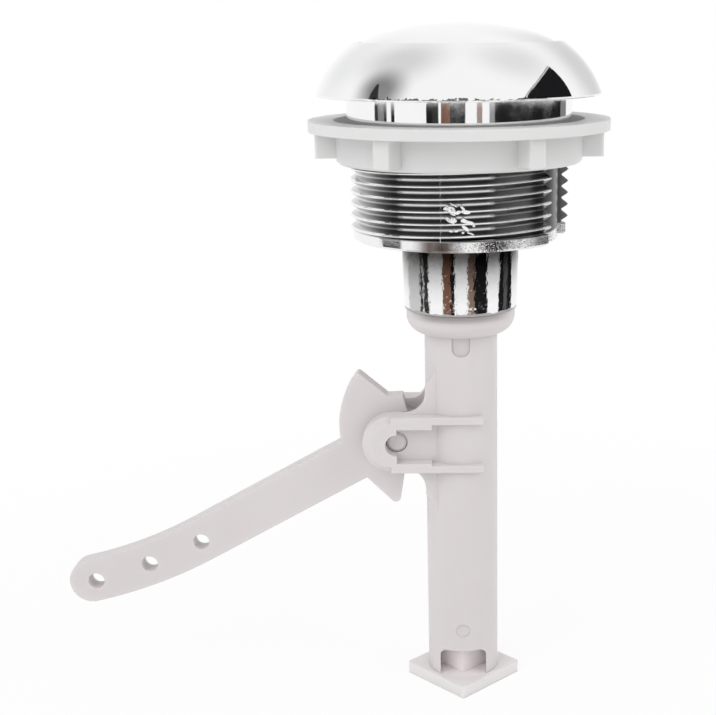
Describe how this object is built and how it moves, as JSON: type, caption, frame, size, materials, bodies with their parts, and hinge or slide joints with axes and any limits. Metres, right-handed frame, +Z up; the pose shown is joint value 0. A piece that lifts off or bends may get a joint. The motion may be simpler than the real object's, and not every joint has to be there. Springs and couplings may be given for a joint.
{
  "type": "push button cistern actuator",
  "caption": "Domed push button with a flanged threaded body, lock nut and hanging stem; pressing it swings a drilled outlet lever upwards.",
  "frame": {"origin": "on the button's axis, in the plane where the underside of the bezel sits on the cistern lid", "axes": "+Z up along the button's axis, -X towards the outlet lever, Y along the lever's pivot pin"},
  "size_m": [0.0946, 0.0494, 0.1148],
  "materials": {
    "chrome_plate": "bright chrome plating on moulded plastic",
    "nut_plastic": "natural white moulded plastic, slightly waxy",
    "white_plastic": "warm white moulded plastic, satin",
    "spring_steel": "drawn stainless spring wire"
  },
  "bodies": {
    "body": {"threaded_body": "chrome_plate"},
    "button": {"button_dome": "chrome_plate"},
    "nut": {"lock_nut": "nut_plastic"},
    "stem": {"stem_tube": "white_plastic", "foot_plug": "white_plastic", "return_spring": "spring_steel"},
    "rod": {"push_rod": "white_plastic"},
    "lever": {"lever_arm": "white_plastic", "pivot_pin": "white_plastic"}
  },
  "joints": [
    {"name": "button_press", "type": "slide", "parent": "body", "child": "button", "axis": [0, 0, -1], "range_m": [0, 0.00713], "stiffness_N_per_m": 300, "springref_m": -0.004},
    {"name": "nut_travel", "type": "slide", "parent": "body", "child": "nut", "axis": [0, 0, -1], "range_m": [0, 0.012]},
    {"name": "stem_swivel", "type": "hinge", "parent": "body", "child": "stem", "pos_m": [0, 0, -0.035], "axis": [0, 0, 1], "continuous": true},
    {"name": "rod_slide", "type": "slide", "parent": "stem", "child": "rod", "axis": [0, 0, -1], "range_m": [0, 0.00714], "deforming": ["return_spring"]},
    {"name": "lever_swing", "type": "hinge", "parent": "stem", "child": "lever", "pos_m": [-0.0111, 0, -0.0579], "axis": [0, 1, 0], "range_deg": [0, 37.6]}
  ],
  "couplings": [
    {"joint": "rod_slide", "follows": "button_press", "ratio": 1},
    {"joint": "lever_swing", "follows": "button_press", "rad_per_m": 91.72}
  ]
}
